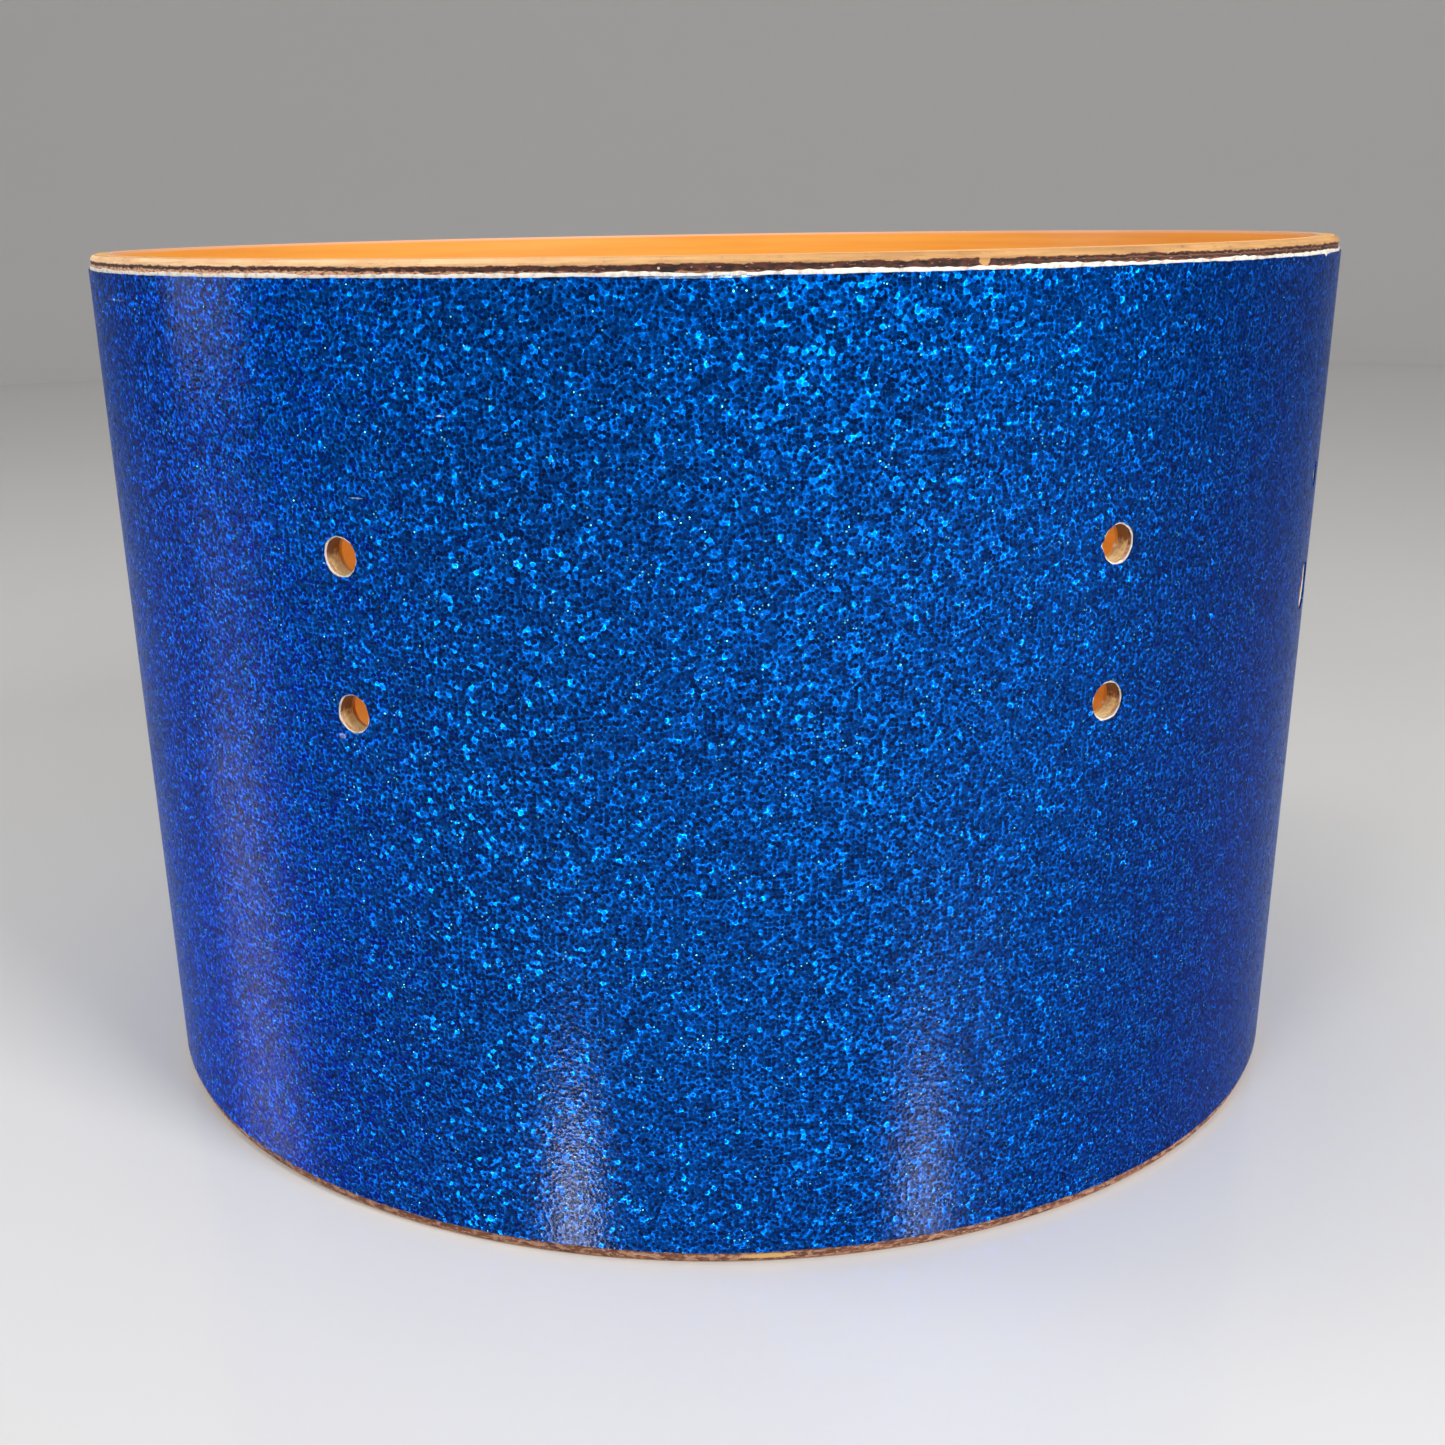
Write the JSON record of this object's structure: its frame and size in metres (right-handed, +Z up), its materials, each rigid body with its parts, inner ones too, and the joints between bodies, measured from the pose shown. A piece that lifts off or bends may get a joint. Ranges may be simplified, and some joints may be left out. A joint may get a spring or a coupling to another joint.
{
  "type": "drum shell",
  "caption": "Bare cylindrical drum shell of three wood plies under a laminated blue glitter wrap, with rounded bearing edges and radial holes for lugs and a bracket.",
  "frame": {"origin": "centre of the lower bearing edge, on the surface the shell stands on", "axes": "+Z up the shell's axis; -Y is the front, midway between two lug columns"},
  "size_m": [0.3024, 0.3024, 0.2032],
  "materials": {
    "lacquered_maple": "gloss lacquer",
    "poplar_core": "bare, sanded",
    "mahogany_ply": "bare, rough",
    "wrap_backing": "matte, cut edge",
    "blue_glitter": "metal flake in clear resin",
    "clear_coat": "clear gloss"
  },
  "bodies": {
    "root": {"inner_ply": "lacquered_maple", "core_ply": "poplar_core", "outer_ply": "mahogany_ply", "wrap_backing": "wrap_backing", "wrap_glitter_film": "blue_glitter", "wrap_clear_coat": "clear_coat"}
  },
  "joints": []
}
